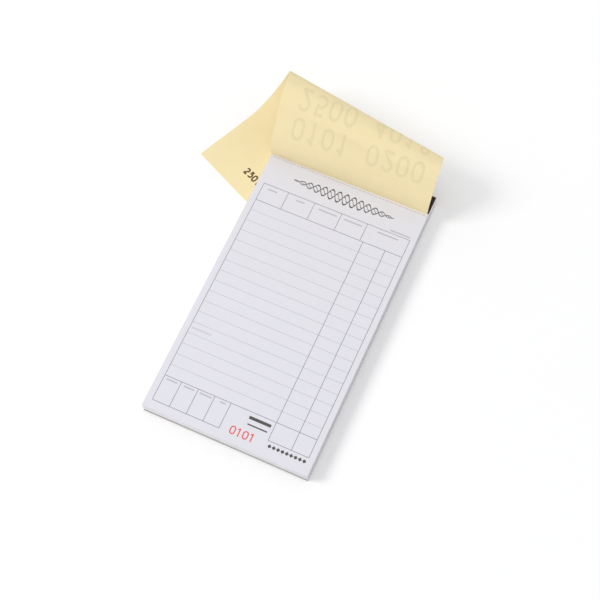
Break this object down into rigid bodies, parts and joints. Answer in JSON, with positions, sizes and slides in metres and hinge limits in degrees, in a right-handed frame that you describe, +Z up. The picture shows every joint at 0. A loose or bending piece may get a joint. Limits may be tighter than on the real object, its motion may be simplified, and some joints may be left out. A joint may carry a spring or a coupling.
{
  "type": "docket book",
  "caption": "Tear-off docket pad with ruled leaves, taped and stapled at the head on a grey back board, its yellow paper cover turned back over the head in a loop and tucked under the pad.",
  "frame": {"origin": "on the table, straight below the middle of the line where the cover folds at the head", "axes": "+X to the right across the form, +Y from the foot towards the head, +Z up from the table"},
  "size_m": [0.142, 0.2155, 0.0537],
  "materials": {
    "docket_paper": "matte",
    "cover_paper": "matte",
    "back_board": "matte",
    "binding_tape": "satin",
    "staple_wire": "satin"
  },
  "bodies": {
    "pad": {"back_board": "back_board", "docket_stack": "docket_paper", "docket_stubs": "docket_paper", "cover_bound_strip": "cover_paper", "staple_left": "staple_wire", "staple_right": "staple_wire", "binding_tape": "binding_tape"},
    "docket_01": {"docket_01": "docket_paper"},
    "docket_02": {"docket_02": "docket_paper"},
    "docket_03": {"docket_03": "docket_paper"},
    "docket_04": {"docket_04": "docket_paper"},
    "docket_05": {"docket_05": "docket_paper"},
    "docket_06": {"docket_06": "docket_paper"},
    "docket_07": {"docket_07": "docket_paper"},
    "docket_08": {"docket_08": "docket_paper"},
    "docket_09": {"docket_09": "docket_paper"},
    "docket_10": {"docket_10": "docket_paper"},
    "cover_panel": {"cover_panel": "cover_paper"},
    "cover_crown_1": {"cover_crown_1": "cover_paper"},
    "cover_crown_2": {"cover_crown_2": "cover_paper"},
    "cover_back": {"cover_back": "cover_paper"},
    "cover_tail_1": {"cover_tail_1": "cover_paper"},
    "cover_tail_2": {"cover_tail_2": "cover_paper"},
    "cover_tail_3": {"cover_tail_3": "cover_paper"},
    "cover_end": {"cover_end": "cover_paper"}
  },
  "joints": [
    {"name": "cover_turn", "type": "hinge", "parent": "pad", "child": "cover_panel", "pos_m": [0, 0, 0.00993], "axis": [1, 0, 0], "range_deg": [0, 110]},
    {"name": "crease_01", "type": "hinge", "parent": "cover_panel", "child": "cover_crown_1", "pos_m": [0, 0.01184, 0.04247], "axis": [0.9902, -0.0477, -0.1311], "range_deg": [0, 44.97]},
    {"name": "crease_02", "type": "hinge", "parent": "cover_crown_1", "child": "cover_crown_2", "pos_m": [0, 0.02001, 0.04634], "axis": [0.9871, -0.0728, -0.1426], "range_deg": [0, 44.42]},
    {"name": "crease_03", "type": "hinge", "parent": "cover_crown_2", "child": "cover_back", "pos_m": [0, 0.02854, 0.04335], "axis": [0.9861, -0.099, -0.1333], "range_deg": [0, 44.13]},
    {"name": "crease_04", "type": "hinge", "parent": "cover_back", "child": "cover_tail_1", "pos_m": [0, 0.03699, 0.02603], "axis": [0.9889, -0.1254, -0.0801], "range_deg": [0, 28.79]},
    {"name": "crease_05", "type": "hinge", "parent": "cover_tail_1", "child": "cover_tail_2", "pos_m": [0, 0.03641, 0.01492], "axis": [0.9912, -0.1239, -0.0459], "range_deg": [0, 28.96]},
    {"name": "crease_06", "type": "hinge", "parent": "cover_tail_2", "child": "cover_tail_3", "pos_m": [0, 0.03051, 0.00549], "axis": [0.9942, -0.1059, -0.0168], "range_deg": [0, 29.08]},
    {"name": "crease_07", "type": "hinge", "parent": "cover_tail_3", "child": "cover_end", "pos_m": [0, 0.02079, 0.0001], "axis": [0.9971, -0.0759, 0], "range_deg": [0, 29.09]},
    {"name": "docket_01_tear_off", "type": "slide", "parent": "pad", "child": "docket_01", "axis": [0, -1, 0], "range_m": [0, 0.171]},
    {"name": "docket_02_tear_off", "type": "slide", "parent": "pad", "child": "docket_02", "axis": [0, -1, 0], "range_m": [0, 0.171]},
    {"name": "docket_03_tear_off", "type": "slide", "parent": "pad", "child": "docket_03", "axis": [0, -1, 0], "range_m": [0, 0.171]},
    {"name": "docket_04_tear_off", "type": "slide", "parent": "pad", "child": "docket_04", "axis": [0, -1, 0], "range_m": [0, 0.171]},
    {"name": "docket_05_tear_off", "type": "slide", "parent": "pad", "child": "docket_05", "axis": [0, -1, 0], "range_m": [0, 0.171]},
    {"name": "docket_06_tear_off", "type": "slide", "parent": "pad", "child": "docket_06", "axis": [0, -1, 0], "range_m": [0, 0.171]},
    {"name": "docket_07_tear_off", "type": "slide", "parent": "pad", "child": "docket_07", "axis": [0, -1, 0], "range_m": [0, 0.171]},
    {"name": "docket_08_tear_off", "type": "slide", "parent": "pad", "child": "docket_08", "axis": [0, -1, 0], "range_m": [0, 0.171]},
    {"name": "docket_09_tear_off", "type": "slide", "parent": "pad", "child": "docket_09", "axis": [0, -1, 0], "range_m": [0, 0.171]},
    {"name": "docket_10_tear_off", "type": "slide", "parent": "pad", "child": "docket_10", "axis": [0, -1, 0], "range_m": [0, 0.171]}
  ],
  "couplings": [
    {"joint": "crease_01", "follows": "cover_turn", "ratio": 0.40862},
    {"joint": "crease_02", "follows": "cover_turn", "ratio": 0.40368},
    {"joint": "crease_03", "follows": "cover_turn", "ratio": 0.40105},
    {"joint": "crease_04", "follows": "cover_turn", "ratio": 0.26154},
    {"joint": "crease_05", "follows": "cover_turn", "ratio": 0.26308},
    {"joint": "crease_06", "follows": "cover_turn", "ratio": 0.26416},
    {"joint": "crease_07", "follows": "cover_turn", "ratio": 0.26428}
  ]
}
